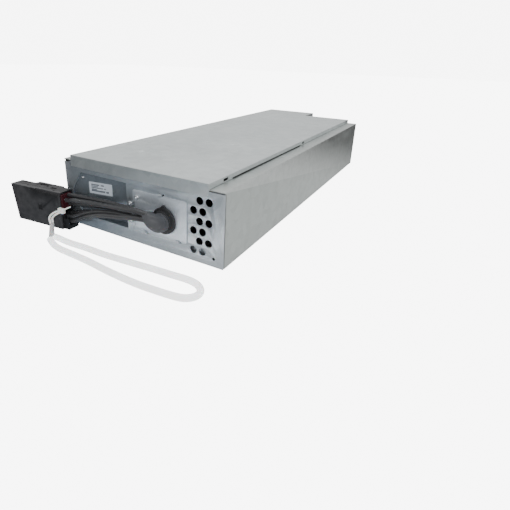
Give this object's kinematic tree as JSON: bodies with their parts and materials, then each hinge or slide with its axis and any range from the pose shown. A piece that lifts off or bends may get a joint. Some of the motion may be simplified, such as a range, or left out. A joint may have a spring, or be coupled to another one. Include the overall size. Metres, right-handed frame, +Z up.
{
  "type": "rack battery cartridge",
  "caption": "Low steel battery cartridge for a rack power supply: folded tray and cover, vented front, gland with leads to a two-half connector, and a pull loop.",
  "frame": {"origin": "middle of the underside, on the surface that the cartridge stands on", "axes": "+X to the right seen from the front, +Y from the front panel to the back, +Z up; the front faces -Y"},
  "size_m": [0.2887, 0.6282, 0.084],
  "materials": {
    "base_tray": "galvanised sheet, satin",
    "battery_block_01": "black battery case with tinned tabs",
    "battery_block_02": "black battery case with tinned tabs",
    "battery_block_03": "black battery case with tinned tabs",
    "battery_block_04": "black battery case with tinned tabs",
    "battery_block_05": "black battery case with tinned tabs",
    "battery_block_06": "black battery case with tinned tabs",
    "battery_block_07": "black battery case with tinned tabs",
    "battery_block_08": "black battery case with tinned tabs",
    "battery_block_09": "black battery case with tinned tabs",
    "battery_block_10": "black battery case with tinned tabs",
    "battery_lead_1": "black insulated lead, satin",
    "battery_lead_2": "black insulated lead, satin",
    "battery_lead_3": "black insulated lead, satin",
    "battery_lead_4": "black insulated lead, satin",
    "battery_lead_5": "black insulated lead, satin",
    "battery_lead_6": "black insulated lead, satin",
    "block_retainer": "galvanised sheet, satin",
    "cable_boot": "dark grey soft sleeve",
    "cable_gland": "black moulded rubber",
    "cable_tie": "natural nylon",
    "centre_insulator": "fish-paper insulation sheet",
    "connector_screw": "blackened screw",
    "connector_shell_far": "black moulded shell, fine grain",
    "connector_shell_near": "black moulded shell, fine grain",
    "cover_screw_a": "bright zinc-plated pan head",
    "cover_screw_b": "bright zinc-plated pan head",
    "cover_screw_c": "bright zinc-plated pan head",
    "foam_left": "closed-cell foam strip",
    "foam_right": "closed-cell foam strip",
    "front_label": "printed film label, blank bars only",
    "front_panel": "galvanised sheet, satin",
    "fuse": "ceramic cartridge fuse",
    "fuse_holder": "black moulded fuse base",
    "gland_plate": "galvanised sheet, satin",
    "inner_lead_negative": "black insulated lead",
    "inner_lead_positive": "black insulated lead",
    "lead_pocket": "galvanised sheet, satin",
    "link_left_1": "tinned link bar",
    "link_left_2": "tinned link bar",
    "link_left_3": "tinned link bar",
    "link_left_4": "tinned link bar",
    "link_left_5": "tinned link bar",
    "link_right_1": "tinned link bar",
    "link_right_2": "tinned link bar",
    "link_right_3": "tinned link bar",
    "loop_collar": "milky shrunk sleeve",
    "negative_contact": "tin-plated copper blade",
    "negative_contact_housing": "black moulding",
    "panel_screw_left": "bright zinc-plated pan head",
    "panel_screw_lower": "bright zinc-plated pan head",
    "panel_screw_upper": "bright zinc-plated pan head",
    "plate_screw": "bright zinc-plated pan head",
    "pocket_rivet": "zinc-plated rivet",
    "positive_contact": "tin-plated copper blade",
    "positive_contact_housing": "dark red moulding",
    "pull_loop": "clear to milky vinyl tube",
    "top_cover": "galvanised sheet, satin"
  },
  "bodies": {
    "cartridge": {"base_tray": "base_tray", "battery_block_01": "battery_block_01", "battery_block_02": "battery_block_02", "battery_block_03": "battery_block_03", "battery_block_04": "battery_block_04", "battery_block_05": "battery_block_05", "battery_block_06": "battery_block_06", "battery_block_07": "battery_block_07", "battery_block_08": "battery_block_08", "battery_block_09": "battery_block_09", "battery_block_10": "battery_block_10", "battery_lead_1": "battery_lead_1", "battery_lead_2": "battery_lead_2", "battery_lead_3": "battery_lead_3", "battery_lead_4": "battery_lead_4", "battery_lead_5": "battery_lead_5", "battery_lead_6": "battery_lead_6", "block_retainer": "block_retainer", "cable_boot": "cable_boot", "cable_gland": "cable_gland", "cable_tie": "cable_tie", "centre_insulator": "centre_insulator", "connector_screw": "connector_screw", "connector_shell_far": "connector_shell_far", "connector_shell_near": "connector_shell_near", "cover_screw_a": "cover_screw_a", "cover_screw_b": "cover_screw_b", "cover_screw_c": "cover_screw_c", "foam_left": "foam_left", "foam_right": "foam_right", "front_label": "front_label", "front_panel": "front_panel", "fuse": "fuse", "fuse_holder": "fuse_holder", "gland_plate": "gland_plate", "inner_lead_negative": "inner_lead_negative", "inner_lead_positive": "inner_lead_positive", "lead_pocket": "lead_pocket", "link_left_1": "link_left_1", "link_left_2": "link_left_2", "link_left_3": "link_left_3", "link_left_4": "link_left_4", "link_left_5": "link_left_5", "link_right_1": "link_right_1", "link_right_2": "link_right_2", "link_right_3": "link_right_3", "negative_contact": "negative_contact", "negative_contact_housing": "negative_contact_housing", "panel_screw_left": "panel_screw_left", "panel_screw_lower": "panel_screw_lower", "panel_screw_upper": "panel_screw_upper", "plate_screw": "plate_screw", "pocket_rivet": "pocket_rivet", "positive_contact": "positive_contact", "positive_contact_housing": "positive_contact_housing", "top_cover": "top_cover"},
    "loop": {"pull_loop": "pull_loop", "loop_collar": "loop_collar"}
  },
  "joints": [
    {"name": "loop_swing", "type": "hinge", "parent": "cartridge", "child": "loop", "pos_m": [-0.0797, -0.32385, 0.0209], "axis": [0, -1, 0], "range_deg": [0, 90]}
  ]
}
